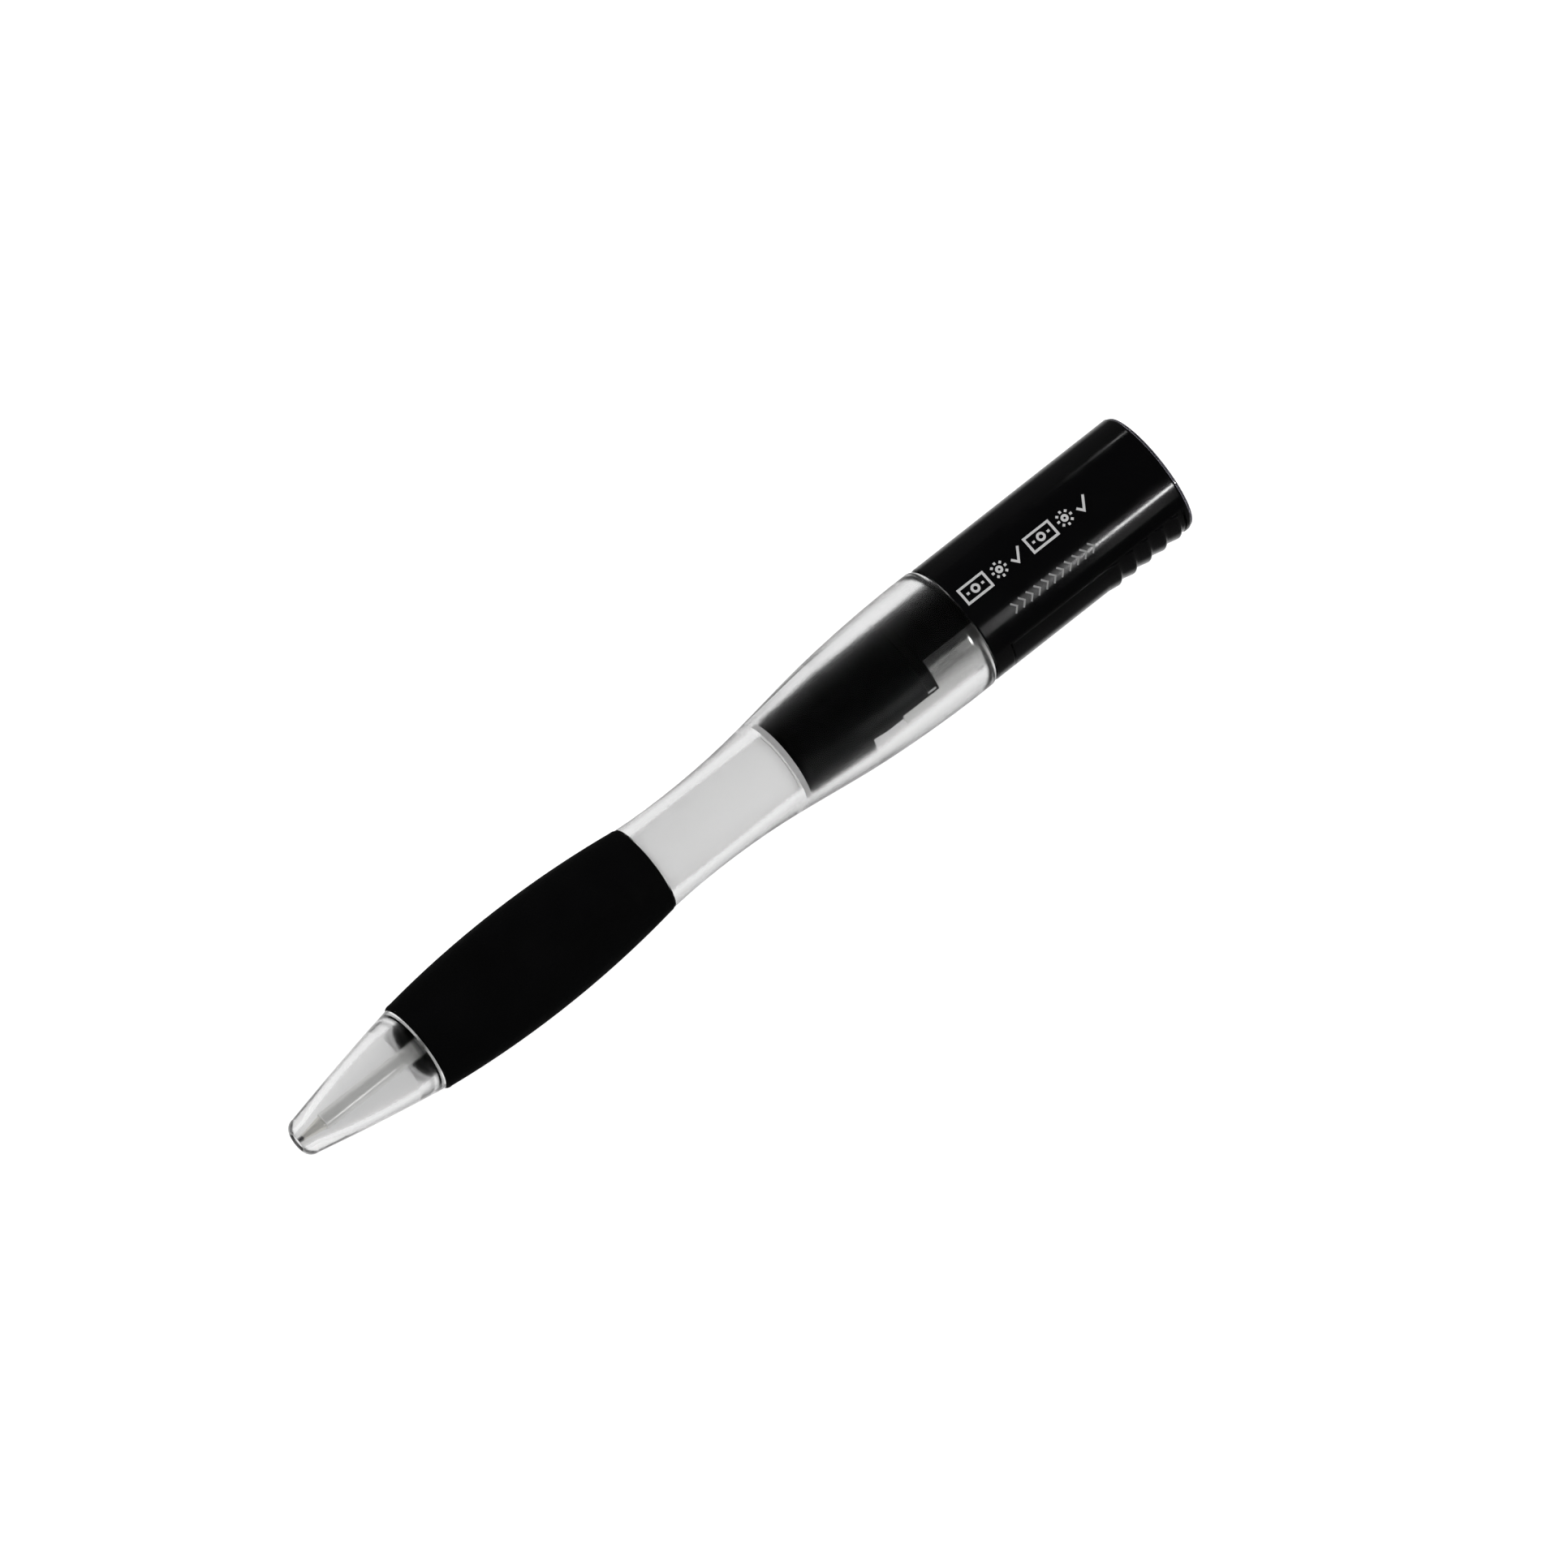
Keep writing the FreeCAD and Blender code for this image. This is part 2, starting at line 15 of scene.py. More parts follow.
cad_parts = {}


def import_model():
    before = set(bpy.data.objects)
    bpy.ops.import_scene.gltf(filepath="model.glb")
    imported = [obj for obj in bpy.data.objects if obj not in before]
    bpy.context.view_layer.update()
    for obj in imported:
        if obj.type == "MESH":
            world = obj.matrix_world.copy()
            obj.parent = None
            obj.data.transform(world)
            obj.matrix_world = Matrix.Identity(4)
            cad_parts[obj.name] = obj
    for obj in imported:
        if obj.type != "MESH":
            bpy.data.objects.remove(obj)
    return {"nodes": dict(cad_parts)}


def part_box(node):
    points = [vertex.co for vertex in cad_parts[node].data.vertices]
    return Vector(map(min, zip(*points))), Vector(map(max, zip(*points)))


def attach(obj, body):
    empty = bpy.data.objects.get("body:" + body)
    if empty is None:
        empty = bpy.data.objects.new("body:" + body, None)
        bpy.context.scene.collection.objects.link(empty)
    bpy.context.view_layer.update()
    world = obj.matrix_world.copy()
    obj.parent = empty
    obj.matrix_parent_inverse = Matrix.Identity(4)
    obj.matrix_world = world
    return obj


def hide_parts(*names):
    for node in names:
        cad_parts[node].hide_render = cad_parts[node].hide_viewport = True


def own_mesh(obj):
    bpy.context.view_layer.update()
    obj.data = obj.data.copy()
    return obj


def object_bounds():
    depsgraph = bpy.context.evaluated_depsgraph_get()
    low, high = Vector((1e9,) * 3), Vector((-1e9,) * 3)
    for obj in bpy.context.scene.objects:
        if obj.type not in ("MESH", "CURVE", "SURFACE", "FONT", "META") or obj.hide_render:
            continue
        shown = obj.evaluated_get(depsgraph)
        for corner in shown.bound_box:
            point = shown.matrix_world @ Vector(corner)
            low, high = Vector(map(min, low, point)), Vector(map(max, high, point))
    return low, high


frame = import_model()
cad_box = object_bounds()

MM = 0.001
NOSE_START = 0.75                     # station of the nose's opening
DATUM_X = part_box("nose_cone")[0].x - NOSE_START * MM
SHELL_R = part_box("lamp_shell")[1].z
FLOOR_Z = cad_box[0].z - 0.02 * MM    # just clear of the pen


# ---- node helpers ----------------------------------------------------------------
MIX_A, MIX_B, MIX_RESULT = 6, 7, 2    # colour sockets of a Mix node


class Nodes:
    """A node tree, with short ways to add nodes and to link them."""

    def __init__(self, tree):
        self.tree = tree

    def node(self, kind, values=None, **settings):
        made = self.tree.nodes.new(kind)
        for key, value in settings.items():
            setattr(made, key, value)
        for key, value in (values or {}).items():
            made.inputs[key].default_value = value
        return made

    def link(self, source, target):
        self.tree.links.new(source, target)

    def math(self, operation, *terms):
        """Result of a Math node; a term is a number or another node's output."""
        made = self.node("ShaderNodeMath", operation=operation)
        for term, socket in zip(terms, made.inputs):
            if isinstance(term, (int, float)):
                socket.default_value = term
            else:
                self.link(term, socket)
        return made.outputs["Value"]

    def ramp(self, source, low, high, from_low=0.3, from_high=0.7):
        made = self.node("ShaderNodeMapRange", {"From Min": from_low, "From Max": from_high,
                                                "To Min": low, "To Max": high})
        self.link(source, made.inputs["Value"])
        return made.outputs["Result"]

    def choose(self, factor, first, second):
        """First shader where factor is 0, second where it is 1."""
        mix = self.node("ShaderNodeMixShader")
        for source, socket in zip((factor, first, second), mix.inputs):
            self.link(source, socket)
        return mix.outputs[0]

    def incoming_height(self):
        """Vertical part of the direction back along a ray."""
        parts = self.node("ShaderNodeSeparateXYZ")
        self.link(self.node("ShaderNodeNewGeometry").outputs["Incoming"], parts.inputs["Vector"])
        return parts.outputs["Z"]


class Shader(Nodes):
    """A material with its Principled node at hand."""

    def __init__(self, name, **values):
        self.material = bpy.data.materials.new(name)
        self.material.use_nodes = True
        super().__init__(self.material.node_tree)
        self.main = self.tree.nodes["Principled BSDF"]
        for key, value in values.items():
            self.main.inputs[key.replace("_", " ")].default_value = value

    def position(self, scale=(1, 1, 1)):
        """Position in the pen's own frame, in millimetres times scale."""
        coords = self.node("ShaderNodeTexCoord")
        mapping = self.node("ShaderNodeMapping", {"Scale": [s / MM for s in scale]})
        self.link(coords.outputs["Object"], mapping.inputs["Vector"])
        return mapping.outputs["Vector"]

    def coordinate(self, axis):
        """One coordinate of the position, in millimetres."""
        parts = self.node("ShaderNodeSeparateXYZ")
        self.link(self.position(), parts.inputs["Vector"])
        return parts.outputs[axis]

    def noise(self, size_mm, detail=3.0, scale=(1, 1, 1)):
        made = self.node("ShaderNodeTexNoise", {"Scale": 1 / size_mm, "Detail": detail})
        self.link(self.position(scale), made.inputs["Vector"])
        return made.outputs["Fac"]

    def vary(self, name, source, low, high, **span):
        self.link(self.ramp(source, low, high, **span), self.main.inputs[name])

    def bump(self, height, depth_mm, normal=None):
        made = self.node("ShaderNodeBump", {"Distance": depth_mm * MM})
        self.link(height, made.inputs["Height"])
        if normal is not None:
            self.link(normal, made.inputs["Normal"])
        self.link(made.outputs["Normal"], self.main.inputs["Normal"])

    def facing_outwards(self):
        """1 on surfaces that face away from the pen's axis, 0 in bores."""
        radial = self.node("ShaderNodeVectorMath", operation="MULTIPLY")
        radial.inputs[1].default_value = (0, 1, 1)
        self.link(self.position(), radial.inputs[0])
        dot = self.node("ShaderNodeVectorMath", operation="DOT_PRODUCT")
        self.link(radial.outputs["Vector"], dot.inputs[0])
        self.link(self.node("ShaderNodeNewGeometry").outputs["True Normal"], dot.inputs[1])
        return self.math("GREATER_THAN", dot.outputs["Value"], 0.0)

    def tint(self, source, dark, light):
        """Base colour between two colours."""
        mix = self.node("ShaderNodeMix", data_type="RGBA")
        self.link(source, mix.inputs["Factor"])
        mix.inputs[MIX_A].default_value = (*dark, 1)
        mix.inputs[MIX_B].default_value = (*light, 1)
        self.link(mix.outputs[MIX_RESULT], self.main.inputs["Base Color"])

    def paint_over(self, amount, colour):
        """Covers the base colour with another one where amount is 1."""
        mix = self.node("ShaderNodeMix", data_type="RGBA")
        self.link(amount, mix.inputs["Factor"])
        self.link(self.main.inputs["Base Color"].links[0].from_socket, mix.inputs[MIX_A])
        mix.inputs[MIX_B].default_value = (*colour, 1)
        self.link(mix.outputs[MIX_RESULT], self.main.inputs["Base Color"])


def grey(level):
    return (level, level, level)


# ---- see-through materials -------------------------------------------------------
# A roughness range stays wholly below 0.27: one that crosses it denoises in patches.
MIRROR_TINT = (*grey(0.4), 1)   # clear plastic mirrors the studio weakly
NOSE_TINT, BARREL_TINT = 0.73, 0.70
NOSE_HAZE, NOSE_BORE_HAZE = (0.16, 0.2), 0.08
BARREL_HAZE, BARREL_BORE_HAZE = (0.17, 0.21), 0.07
PAINTED_EDGE_LIGHT = 0.25                # painted light: emission that makes the outline of clear plastic glow
GRAZING = (0.65, 0.9)           # where that painted outline light starts and is full: 0 faces the viewer, 1 is edge-on
JOINT_SHADE_START = 18.4              # mm from the nose's opening to the painted shade in the joint before the grip
JOINT_SHADE_FADE_IN, JOINT_SHADE_LENGTH, JOINT_SHADE_FADE_OUT = 0.35, 0.6, 0.1
JOINT_SHADE_WANDER = 0.5              # how unevenly the painted shade starts


def see_through(name, ior, tint, haze, bore_haze, grain_mm, depth_mm):
    """Clear moulding that is hazy outside and smoother in its bore."""
    s = Shader(name, IOR=ior, Transmission_Weight=1.0, Specular_Tint=MIRROR_TINT)
    s.tint(s.noise(9.0), grey(tint - 0.02), grey(tint + 0.02))
    outside = s.math("MULTIPLY", s.ramp(s.noise(6.0), *haze), s.facing_outwards())
    s.link(s.math("MAXIMUM", outside, bore_haze), s.main.inputs["Roughness"])
    s.bump(s.noise(grain_mm, detail=2.0), depth_mm)
    return s


def add_painted_joint_shade(s):
    """Painted shade: a grey ring in the joint at the rear of the nose, uneven on its front side."""
    along = s.coordinate("X")
    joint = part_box("nose_cone")[0].x / MM + JOINT_SHADE_START
    tail = joint + JOINT_SHADE_LENGTH
    uneven = s.math("ADD", along, s.math("MULTIPLY", s.noise(1.5), JOINT_SHADE_WANDER))
    begins = s.ramp(uneven, 0.0, 1.0, from_low=joint, from_high=joint + JOINT_SHADE_FADE_IN)
    lasts = s.ramp(along, 1.0, 0.0, from_low=tail, from_high=tail + JOINT_SHADE_FADE_OUT)
    # the grey 0.3 laid over the base colour here is painted shade
    s.paint_over(s.math("MULTIPLY", begins, lasts), grey(0.3))


def add_painted_edge_light(s):
    """Painted light: a pale outline that glows by emission where clear plastic is seen edge-on."""
    facing = s.node("ShaderNodeLayerWeight").outputs["Facing"]
    outline = s.ramp(facing, 0.0, PAINTED_EDGE_LIGHT, from_low=GRAZING[0], from_high=GRAZING[1])
    # this emission is painted light at the outline
    s.link(s.math("MULTIPLY", outline, s.facing_outwards()), s.main.inputs["Emission Strength"])
    s.main.inputs["Emission Color"].default_value = (*grey(1.0), 1)


def nose_plastic():
    """Clear plastic of the cone, with a painted glow at its outline and painted shade in the joint
    behind it.
    """
    s = see_through("clear_plastic", ior=1.35, tint=NOSE_TINT, haze=NOSE_HAZE,
                    bore_haze=NOSE_BORE_HAZE, grain_mm=1.2, depth_mm=0.001)
    # painted shade in the joint behind the cone
    add_painted_joint_shade(s)
    add_painted_edge_light(s)
    return s.material


def barrel_plastic():
    """Clear plastic with a fine satin grain."""
    s = see_through("frosted_plastic", ior=1.3, tint=BARREL_TINT, haze=BARREL_HAZE,
                    bore_haze=BARREL_BORE_HAZE, grain_mm=0.12, depth_mm=0.0015)
    return s.material


def lamp_window():
    """Smoke-tinted window, scuffed by pockets."""
    s = Shader("lamp_window", IOR=1.49, Transmission_Weight=1.0)
    s.tint(s.noise(3.0), (0.30, 0.29, 0.34), (0.36, 0.35, 0.40))
    s.vary("Roughness", s.noise(1.5), 0.04, 0.14)
    s.bump(s.noise(0.8), 0.003)
    return s.material


def led_epoxy():
    s = Shader("led_epoxy", IOR=1.53, Transmission_Weight=1.0)
    s.tint(s.noise(4.0), (0.86, 0.84, 0.97), (0.93, 0.92, 0.99))
    s.vary("Roughness", s.noise(2.0), 0.02, 0.06)
    return s.material


# ---- other materials -------------------------------------------------------------
WORN_EDGE = 0.2 * MM            # how far wear has rounded the shell's edges


def black_rubber():
    s = Shader("black_rubber", IOR=1.4, Specular_IOR_Level=0.1)
    s.tint(s.noise(6.0), (0.0015, 0.0015, 0.0015), (0.003, 0.003, 0.0032))
    s.vary("Roughness", s.noise(1.5), 0.62, 0.85)
    s.bump(s.noise(0.25), 0.02)
    return s.material


def black_shell():
    """Black glossy moulding with edges rounded off a little by wear."""
    s = Shader("black_shell", IOR=1.46, Specular_IOR_Level=0.4)
    s.tint(s.noise(12.0), (0.0012, 0.0012, 0.0014), (0.003, 0.003, 0.0034))
    s.vary("Roughness", s.noise(2.5), 0.11, 0.17)
    rounded = s.node("ShaderNodeBevel", {"Radius": WORN_EDGE})
    s.bump(s.noise(0.4, detail=2.0), 0.003, normal=rounded.outputs["Normal"])
    return s.material


def black_moulding():
    """Black inner moulding, matt all round but satin on the side that faces the switch."""
    s = Shader("black_moulding", IOR=1.46)
    s.vary("Specular IOR Level", s.coordinate("Y"), 0.14, 0.01, from_low=-2.0, from_high=1.0)
    s.tint(s.noise(4.0), (0.0015, 0.0015, 0.0017), (0.004, 0.004, 0.0045))
    s.vary("Roughness", s.noise(1.2), 0.4, 0.6)
    s.bump(s.noise(0.3), 0.01)
    return s.material


def pale_moulding(name, level):
    s = Shader(name, IOR=1.5)
    s.tint(s.noise(5.0), grey(level - 0.03), grey(level))
    s.vary("Roughness", s.noise(1.5), 0.38, 0.55)
    s.bump(s.noise(0.5), 0.01)
    return s.material


def metal(name, dark, light, rough, stretch=(1, 1, 1), grain_mm=0.6, depth_mm=0.004, dull=0.0):
    """Metal with a drawn or turned grain: stretch above 1 squeezes the grain that way."""
    s = Shader(name, Metallic=1.0 - dull)
    s.tint(s.noise(3.0), dark, light)
    grain = s.noise(grain_mm, detail=4.0, scale=stretch)
    s.vary("Roughness", grain, *rough)
    s.bump(grain, depth_mm)
    return s.material


def wet(name, dark, light):
    """Glossy paste in the refill."""
    s = Shader(name, IOR=1.5)
    s.tint(s.noise(1.5), dark, light)
    s.vary("Roughness", s.noise(0.8), 0.08, 0.2)
    return s.material


def printed_ink(name, level):
    s = Shader(name, IOR=1.5, Specular_IOR_Level=0.2)
    s.tint(s.noise(0.4, detail=4.0), grey(level * 0.8), grey(level))
    s.vary("Roughness", s.noise(0.3), 0.4, 0.6)
    s.bump(s.noise(0.15), 0.004)
    return s.material


def drawn_tube():
    """Plated tube of the refill, with faint scratches along it."""
    return metal("drawn_tube", (0.66, 0.66, 0.65), (0.74, 0.74, 0.73), rough=(0.12, 0.2),
                 stretch=(0.08, 1, 1), grain_mm=0.3, depth_mm=0.001, dull=0.6)


def turned_point():
    """Nickel silver with rings from the lathe."""
    return metal("turned_point", (0.66, 0.65, 0.62), (0.76, 0.75, 0.71), rough=(0.12, 0.22),
                 stretch=(6, 0.5, 0.5), grain_mm=0.8, dull=0.5)


def bright_nickel():
    """Rolled sheet of the contacts."""
    return metal("bright_nickel", (0.70, 0.70, 0.69), (0.78, 0.78, 0.77), rough=(0.14, 0.26),
                 stretch=(0.15, 1, 1))


def dress_cad_nodes():
    """Gives every CAD node its finished material."""
    looks = (
        (nose_plastic(), "nose_cone"),
        (barrel_plastic(), "barrel"),
        (lamp_window(), "lamp_lens"),
        (led_epoxy(), "uv_led"),
        (black_rubber(), "grip_sleeve friction_ring"),
        (black_shell(), "lamp_shell switch_lever"),
        (black_moulding(), "battery_tube led_holder"),
        (pale_moulding("white_moulding", 0.88), "guide_sleeve twist_cam refill_pusher"),
        (pale_moulding("grey_moulding", 0.45), "cam_retainer"),
        (turned_point(), "refill_point"),
        (drawn_tube(), "refill_tube"),
        (metal("carbide", (0.5, 0.5, 0.52), (0.6, 0.6, 0.62), rough=(0.1, 0.2)), "writing_ball"),
        (wet("paste_ink", (0.004, 0.004, 0.02), (0.008, 0.008, 0.04)), "ink_column"),
        (wet("grease", (0.5, 0.46, 0.3), (0.62, 0.58, 0.4)), "ink_follower"),
        (metal("plated_can", (0.66, 0.66, 0.65), (0.76, 0.76, 0.75), rough=(0.18, 0.32)),
         "battery_cell_front battery_cell_middle battery_cell_rear"),
        (metal("spring_steel", (0.5, 0.5, 0.5), (0.62, 0.62, 0.61), rough=(0.2, 0.35)),
         "battery_spring lever_spring pivot_pin"),
        (bright_nickel(), "contact_strip positive_contact bridge_contact"),
        (metal("tinned_lead", (0.6, 0.6, 0.6), (0.72, 0.72, 0.71), rough=(0.2, 0.35)), "led_leads"),
        (metal("vacuum_plating", (0.82, 0.82, 0.82), (0.9, 0.9, 0.9), rough=(0.04, 0.1)), "reflector"),
    )
    for material, names in looks:
        for name in names.split():
            mesh = frame["nodes"][name].data
            mesh.materials.clear()
            mesh.materials.append(material)


# ---- camera ----------------------------------------------------------------------
TILT = math.radians(13.5)       # how far the lamp end leans away from the camera
RISE = math.radians(38.2)       # how far the pen rises to the right in the picture
CAMERA_DISTANCE = 6.0
SENSOR_WIDTH = 36.0             # millimetres, as Blender counts a camera's sensor and lens
FRAME_WIDTH = 196.3 * MM        # what the picture spans at the pen
AIM_STATION = 70.0
AIM_RIGHT, AIM_UP = 7.91 * MM, 3.13 * MM    # from the aimed station to the picture's middle


def camera():
    """Long lens that looks down on the pen, whose writing end comes nearer to it."""
    along = Vector((math.cos(TILT), 0, math.sin(TILT)))
    across = Vector((0, -1, 0))
    right = math.cos(RISE) * along + math.sin(RISE) * across
    up = math.sin(RISE) * along - math.cos(RISE) * across
    back = right.cross(up)
    data = bpy.data.cameras.new("camera")
    data.sensor_width = SENSOR_WIDTH
    data.lens = SENSOR_WIDTH * CAMERA_DISTANCE / FRAME_WIDTH
    data.clip_start, data.clip_end = 0.1, 20.0
    obj = bpy.data.objects.new("camera", data)
    turn = Matrix((right, up, back)).transposed().to_4x4()
    aim = Vector((DATUM_X + AIM_STATION * MM, 0, 0))
    spot = aim + AIM_RIGHT * right + AIM_UP * up + CAMERA_DISTANCE * back
    obj.matrix_world = Matrix.Translation(spot) @ turn
    bpy.context.scene.collection.objects.link(obj)
    bpy.context.scene.camera = obj


# ---- floor and world -------------------------------------------------------------
FLOOR_HALF = 4.0
FLOOR_GLOW = 0.96               # keeps the floor white whatever the lamps do
FLOOR_MIRRORED = 0.06           # how bright the floor is in reflections
FLOOR_GRAZED = 0.75             # the same for rays that only graze an edge on their steep way down
GRAZED_FROM, GRAZED_TO = 0.75, 0.95
CEILING = 0.05                  # brightness overhead, the horizon being 1
OVERHEAD, HORIZON = -0.6, -0.1  # incoming heights: a ray that goes up comes from below
AMBIENT = 0.015                 # what black surfaces mirror where no lamp is
FILL = 2.25                     # how brightly the world lights matt parts inside clear plastic


def floor():
    """White floor, clear from below, that dark surfaces mirror only dimly."""
    mesh = bpy.data.meshes.new("floor")
    corners = ((-1, -1), (1, -1), (1, 1), (-1, 1))
    mesh.from_pydata([(x * FLOOR_HALF, y * FLOOR_HALF, FLOOR_Z) for x, y in corners], [], [(0, 1, 2, 3)])
    obj = bpy.data.objects.new("floor", mesh)
    bpy.context.scene.collection.objects.link(obj)
    s = Shader("pale_floor", Roughness=0.9, Specular_IOR_Level=0.0, Emission_Strength=FLOOR_GLOW,
               Emission_Color=(*grey(1.0), 1))
    s.tint(s.noise(40.0), grey(0.3), grey(0.34))
    dim = s.node("ShaderNodeEmission", {"Color": (*grey(1.0), 1)})
    grazed = s.ramp(s.incoming_height(), FLOOR_MIRRORED, FLOOR_GRAZED,
                    from_low=GRAZED_FROM, from_high=GRAZED_TO)
    s.link(grazed, dim.inputs["Strength"])
    path = s.node("ShaderNodeLightPath").outputs
    mirrored = s.math("GREATER_THAN", path["Is Glossy Ray"], path["Is Transmission Ray"])
    top = s.choose(mirrored, s.main.outputs[0], dim.outputs[0])
    from_below = s.node("ShaderNodeNewGeometry").outputs["Backfacing"]
    clear = s.node("ShaderNodeBsdfTransparent").outputs[0]
    output = s.tree.nodes["Material Output"]
    s.link(s.choose(from_below, top, clear), output.inputs["Surface"])
    mesh.materials.append(s.material)


def world():
    """White round the pen. Reflections seen through clear plastic find it dimmer overhead."""
    made = bpy.data.worlds.new("studio")
    made.use_nodes = True
    n = Nodes(made.node_tree)
    path = n.node("ShaderNodeLightPath").outputs
    straight = n.math("LESS_THAN", path["Glossy Depth"], 0.5)
    sky = n.ramp(n.incoming_height(), CEILING, 1.0, from_low=OVERHEAD, from_high=HORIZON)
    scattered = n.math("GREATER_THAN", path["Diffuse Depth"], 0.5)
    through = n.math("MAXIMUM", n.math("MAXIMUM", straight, sky), n.math("MULTIPLY", scattered, FILL))
    through = n.math("MULTIPLY", through, path["Is Transmission Ray"])
    strength = n.math("MAXIMUM", n.math("MAXIMUM", path["Is Camera Ray"], through), AMBIENT)
    background = made.node_tree.nodes["Background"]
    background.inputs["Color"].default_value = (*grey(1.0), 1)
    n.link(strength, background.inputs["Strength"])
    bpy.context.scene.world = made


# ---- lights ----------------------------------------------------------------------
NEAR = 0.15                     # a strip this near ends sharply in the shell's reflection
FAR = 0.9                       # a strip this far lights evenly what lies behind clear plastic
ABOVE = Vector((-0.15, 0.39, 1.55))     # place of the overhead light
ABOVE_SIZE = 1.2
ABOVE_POWER = 24.0              # watts


def area_light(name, spot, back, size, power):
    """Rectangular light at a spot that shines away from the direction back, its length along X."""
    data = bpy.data.lights.new(name, "AREA")
    data.shape = "RECTANGLE"
    data.size, data.size_y = size
    data.energy = power
    obj = bpy.data.objects.new(name, data)
    back = back.normalized()
    along = (Vector((1, 0, 0)) - back.x * back).normalized()
    turn = Matrix((along, back.cross(along), back)).transposed().to_4x4()
    obj.matrix_world = Matrix.Translation(spot) @ turn
    obj.visible_camera = False
    bpy.context.scene.collection.objects.link(obj)
    return obj


def mirrored_strip(name, bearing, first, last, distance, width, power):
    """Strip light whose reflection in the shell lies at this bearing, between two stations.

    Its distance and width are in metres, its power in watts.
    """
    angle = math.radians(bearing)
    normal = Vector((0, -math.sin(angle), math.cos(angle)))
    back = Vector((math.tan(TILT), -math.sin(2 * angle), math.cos(2 * angle)))
    middle = Vector((DATUM_X + (first + last) / 2 * MM, 0, 0))
    length = (last - first) * MM * (CAMERA_DISTANCE + distance) / CAMERA_DISTANCE
    spot = middle + SHELL_R * normal + distance * back
    return area_light(name, spot, back, (length, width), power)


def lights():
    """Strips draw the shell's highlights and light what is behind clear plastic.

    The overhead light is for the matt parts.
    """
    for strip in (
            mirrored_strip("key_strip", bearing=21.0, first=129.0, last=150.0,
                           distance=NEAR, width=0.0083, power=0.028),
            mirrored_strip("soft_strip", bearing=20.0, first=110.0, last=131.0,
                           distance=NEAR, width=0.05, power=0.0075),
            mirrored_strip("glow_strip", bearing=26.0, first=129.0, last=140.0,
                           distance=NEAR, width=0.07, power=0.002),
            mirrored_strip("rim_strip", bearing=-42.0, first=138.0, last=150.0,
                           distance=NEAR, width=0.0067, power=0.0016)):
        strip.visible_transmission = False
    for strip in (
            mirrored_strip("refill_strip", bearing=24.0, first=-30.0, last=40.0,
                           distance=FAR, width=0.25, power=0.35),
            mirrored_strip("panel_strip", bearing=49.0, first=90.0, last=114.0,
                           distance=FAR, width=0.1, power=0.14)):
        strip.visible_glossy = strip.visible_diffuse = False
    overhead = area_light("overhead", ABOVE, ABOVE, (ABOVE_SIZE, ABOVE_SIZE), ABOVE_POWER)
    overhead.visible_glossy = overhead.visible_transmission = False


def studio():
    floor()
    world()
    lights()
    camera()
    bpy.context.scene.view_settings.view_transform = "Standard"


# ---- print -----------------------------------------------------------------------
STEP = 0.4                      # longest straight piece, so that lines follow the curved shell
INK_SUNK, INK_PROUD = 0.004, 0.012      # how far the ink reaches into the shell and stands out


def circle(x, y, radius, count=20):
    turns = [2 * math.pi * i / count for i in range(count)]
    return [(x + radius * math.cos(t), y + radius * math.sin(t)) for t in turns]


# Each pictogram, about one unit high, returns its width and its strokes. A stroke is its points
# and whether it is closed.
def banknote():
    width, half_height, dash, coin = 1.7, 0.48, 0.17, 0.2
    corners = [(0, -half_height), (width, -half_height), (width, half_height), (0, half_height)]
    dashes = [([(x, 0), (x + dash, 0)], False) for x in (0.25, 1.28)]
    return width, [(corners, True), (circle(width / 2, 0, coin), True)] + dashes


def lit_lamp():
    width, bulb, ray_start, ray_end, ray_count = 1.0, 0.15, 0.34, 0.5, 8
    middle = width / 2
    turns = [2 * math.pi * i / ray_count for i in range(ray_count)]
    rays = [([(middle + r * math.cos(t), r * math.sin(t)) for r in (ray_start, ray_end)], False)
            for t in turns]
    return width, rays + [(circle(middle, 0, bulb), True)]


def check_mark():
    return 0.95, [([(0, 0), (0.28, -0.34), (0.8, 0.42)], False)]


def chevron():
    width = 0.42
    return width, [([(0, -0.5), (width, 0), (0, 0.5)], False)]


def stepped(points, closed):
    """The same line with extra points, none further than STEP from the next."""
    ends = list(zip(points, points[1:] + points[:1]))
    line = []
    for (x0, y0), (x1, y1) in ends if closed else ends[:-1]:
        count = math.ceil(math.hypot(x1 - x0, y1 - y0) / STEP)
        line += [(x0 + (x1 - x0) * i / count, y0 + (y1 - y0) * i / count) for i in range(count)]
    return line if closed else line + [points[-1]]


def edges_of(line, closed, width):
    """Left and right edge points of a line of even width, mitred at its corners."""
    points = [Vector(p) for p in line]
    pairs = []
    for i, here in enumerate(points):
        after = points[(i + 1) % len(points)] if closed or i + 1 < len(points) else None
        before = points[i - 1] if closed or i > 0 else None
        leaving = (after - here).normalized() if after else (here - before).normalized()
        coming = (here - before).normalized() if before else leaving
        across = (coming + leaving).orthogonal().normalized()
        reach = width / 2 / across.dot(coming.orthogonal())
        pairs.append((here + across * reach, here - across * reach))
    return pairs


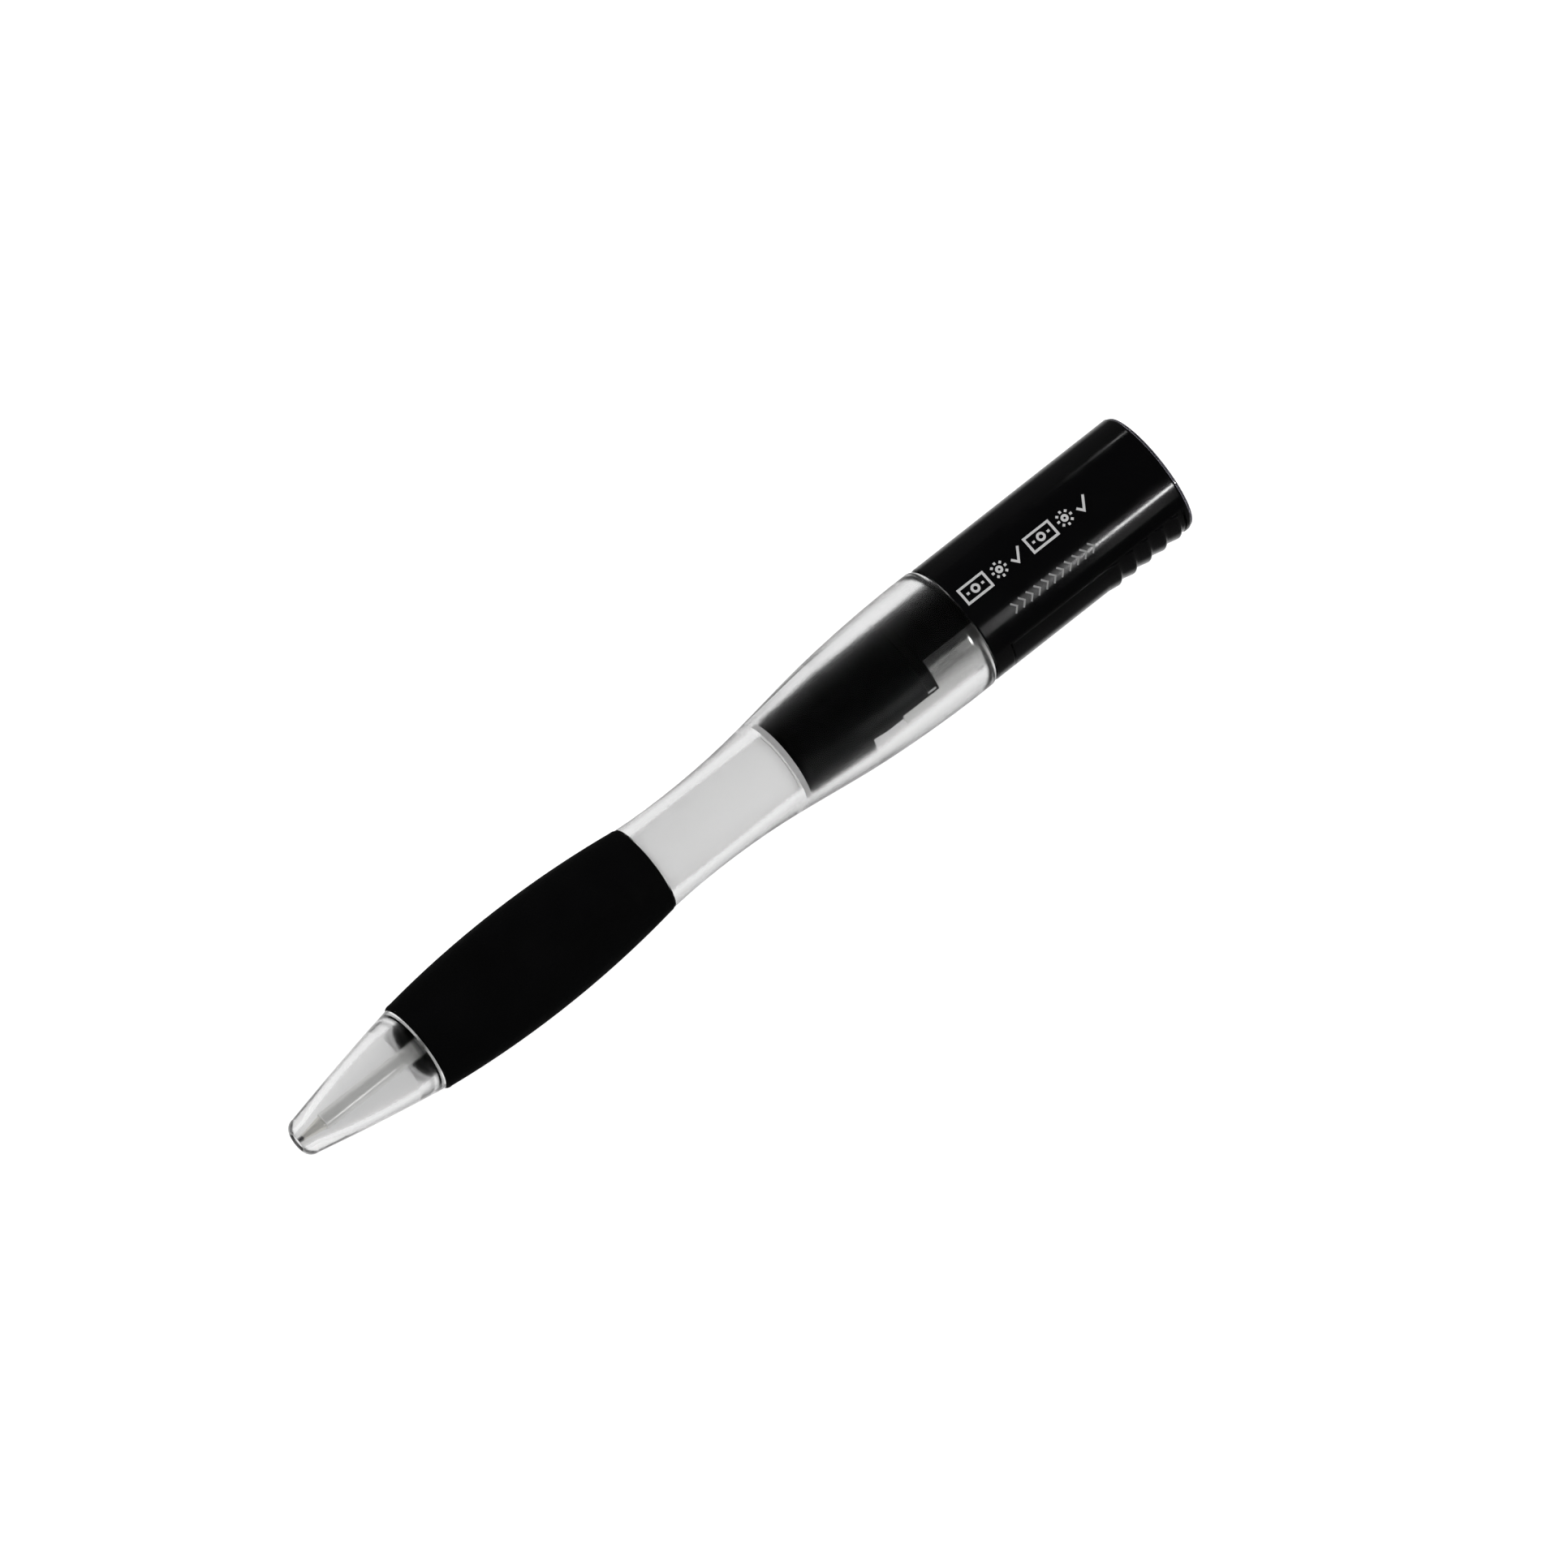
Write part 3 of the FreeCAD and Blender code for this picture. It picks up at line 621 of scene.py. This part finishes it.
def on_shell(point, bearing, height):
    """Place of a point (station, distance across in mm) at a height above the shell."""
    radius = SHELL_R + height * MM
    angle = math.radians(bearing) - point[1] * MM / SHELL_R
    return (DATUM_X + point[0] * MM, -radius * math.sin(angle), radius * math.cos(angle))


def add_stroke(bm, points, closed, bearing, width):
    """One line of ink that follows the shell, a little sunk into it, with capped ends."""
    rings = []
    for left, right in edges_of(stepped(points, closed), closed, width):
        spots = ((left, -INK_SUNK), (right, -INK_SUNK), (right, INK_PROUD), (left, INK_PROUD))
        rings.append([bm.verts.new(on_shell(p, bearing, h)) for p, h in spots])
    if not closed:
        bm.faces.new(rings[0])
        bm.faces.new(rings[-1])
    for ring, following in zip(rings, rings[1:] + rings[:1] if closed else rings[1:]):
        for k in range(4):
            bm.faces.new((ring[k], ring[k - 1], following[k - 1], following[k]))


def print_row(name, pictograms, start, bearing, size, gap, width, material):
    """A row of pictograms as thin ink lines on the shell; start is the first one's station."""
    bm = bmesh.new()
    for pictogram in pictograms:
        advance, strokes = pictogram()
        for points, closed in strokes:
            scaled = [(start + x * size, y * size) for x, y in points]
            add_stroke(bm, scaled, closed, bearing, width)
        start += (advance + gap) * size
    bmesh.ops.recalc_face_normals(bm, faces=bm.faces[:])
    mesh = bpy.data.meshes.new(name)
    bm.to_mesh(mesh)
    bm.free()
    mesh.materials.append(material)
    obj = bpy.data.objects.new(name, mesh)
    bpy.context.scene.collection.objects.link(obj)
    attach(obj, "lamp_unit")


def pad_print():
    print_row("print_pictograms", [banknote, lit_lamp, check_mark] * 2, start=109.4, bearing=-13.6,
              size=2.3, gap=0.34, width=0.34, material=printed_ink("printed_ink", 0.58))
    print_row("print_arrows", [chevron] * 11, start=113.6, bearing=20.0,
              size=1.5, gap=0.42, width=0.24, material=printed_ink("thin_ink", 0.3))


def switch_spring():
    """The lever's return spring: a copy of the CAD spring that rides with the lamp unit."""
    original = frame["nodes"]["lever_spring"]
    spring = bpy.data.objects.new("return_spring", original.data.copy())
    bpy.context.scene.collection.objects.link(spring)
    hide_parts("lever_spring")
    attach(spring, "lamp_unit")
    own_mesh(spring)


dress_cad_nodes()
pad_print()
switch_spring()
studio()
